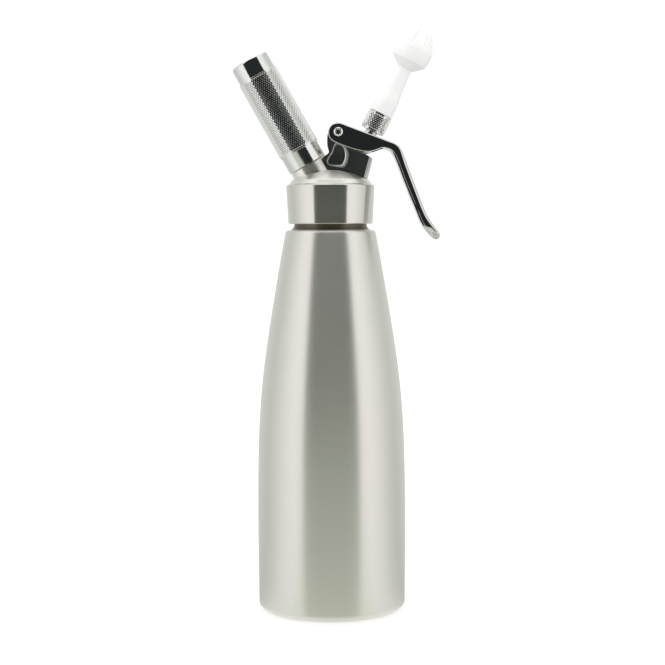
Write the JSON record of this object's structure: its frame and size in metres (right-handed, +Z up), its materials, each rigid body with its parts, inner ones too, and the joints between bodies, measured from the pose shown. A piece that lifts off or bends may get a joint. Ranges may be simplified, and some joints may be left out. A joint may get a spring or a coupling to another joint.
{
  "type": "whipped cream dispenser",
  "caption": "Tall brushed steel whipped cream dispenser with a screwed head, squeeze lever, slanted gas charger holder and tulip nozzle.",
  "frame": {"origin": "middle of the bottle's base, on the surface it stands on", "axes": "+Z up the bottle's axis, +X to the side that the lever and nozzle lean to, -Y to the side of the pivot screw"},
  "size_m": [0.1342, 0.0964, 0.3787],
  "materials": {
    "bottle": "fine horizontal brushing",
    "head_gasket": "smooth",
    "head_cap": "fine turned brushing",
    "valve_block": "mirror polish",
    "valve_bush": "turned",
    "bush_gasket": "smooth",
    "valve_stem": "polished",
    "stem_o_ring": "smooth",
    "stem_wiper": "smooth",
    "stem_spring": "drawn wire",
    "valve_poppet": "turned",
    "poppet_seal": "smooth",
    "lever": "mirror polish",
    "pivot_sleeve": "polished",
    "pivot_screw": "polished",
    "pin_holder": "turned",
    "pin_holder_seal": "smooth",
    "piercing_pin": "ground",
    "charger_seal": "smooth",
    "check_valve_sleeve": "smooth",
    "gas_charger": "satin",
    "charger_holder": "polished bands and a knurled grip",
    "tip_coupling": "fine knurl",
    "tip_seal": "smooth",
    "tulip_tip": "translucent, satin"
  },
  "bodies": {
    "bottle": {"bottle": "bottle"},
    "head_seal": {"head_gasket": "head_gasket"},
    "head": {"head_cap": "head_cap", "valve_block": "valve_block", "valve_bush": "valve_bush", "bush_gasket": "bush_gasket", "stem_spring": "stem_spring", "pivot_sleeve": "pivot_sleeve", "pivot_screw": "pivot_screw", "pin_holder": "pin_holder", "pin_holder_seal": "pin_holder_seal", "piercing_pin": "piercing_pin", "charger_seal": "charger_seal", "check_valve_sleeve": "check_valve_sleeve"},
    "lever": {"lever": "lever"},
    "stem": {"valve_stem": "valve_stem", "stem_o_ring": "stem_o_ring", "stem_wiper": "stem_wiper", "valve_poppet": "valve_poppet", "poppet_seal": "poppet_seal"},
    "tip": {"tulip_tip": "tulip_tip", "tip_seal": "tip_seal"},
    "coupling": {"tip_coupling": "tip_coupling"},
    "charger": {"gas_charger": "gas_charger"},
    "holder": {"charger_holder": "charger_holder"}
  },
  "joints": [
    {"name": "head_lift", "type": "slide", "parent": "bottle", "child": "head_seal", "axis": [0, 0, 1], "range_m": [0, 0.06]},
    {"name": "head_turn", "type": "hinge", "parent": "head_seal", "child": "head", "pos_m": [0, 0, 0.26], "axis": [0, 0, 1], "range_deg": [0, 720]},
    {"name": "lever_pivot", "type": "hinge", "parent": "head", "child": "lever", "pos_m": [0.00528, 0, 0.3111], "axis": [0, 1, 0], "range_deg": [0, 12], "stiffness_Nm_per_rad": 1.7, "springref_deg": -12.03},
    {"name": "stem_slide", "type": "slide", "parent": "head", "child": "stem", "axis": [-0.4695, 0, -0.8829], "range_m": [0, 0.00396], "deforming": ["stem_spring"]},
    {"name": "tip_lift", "type": "slide", "parent": "stem", "child": "tip", "axis": [0.4695, 0, 0.8829], "range_m": [0, 0.04]},
    {"name": "coupling_turn", "type": "hinge", "parent": "tip", "child": "coupling", "pos_m": [0.02826, 0, 0.31405], "axis": [0.4695, 0, 0.8829], "range_deg": [0, 1080]},
    {"name": "charger_lift", "type": "slide", "parent": "head", "child": "charger", "axis": [-0.4894, 0, 0.8721], "range_m": [0, 0.08]},
    {"name": "holder_turn", "type": "hinge", "parent": "charger", "child": "holder", "pos_m": [-0.01468, 0, 0.29016], "axis": [-0.4894, 0, 0.8721], "range_deg": [0, 1080]}
  ],
  "couplings": [
    {"joint": "stem_slide", "follows": "lever_pivot", "m_per_rad": 0.018866}
  ]
}
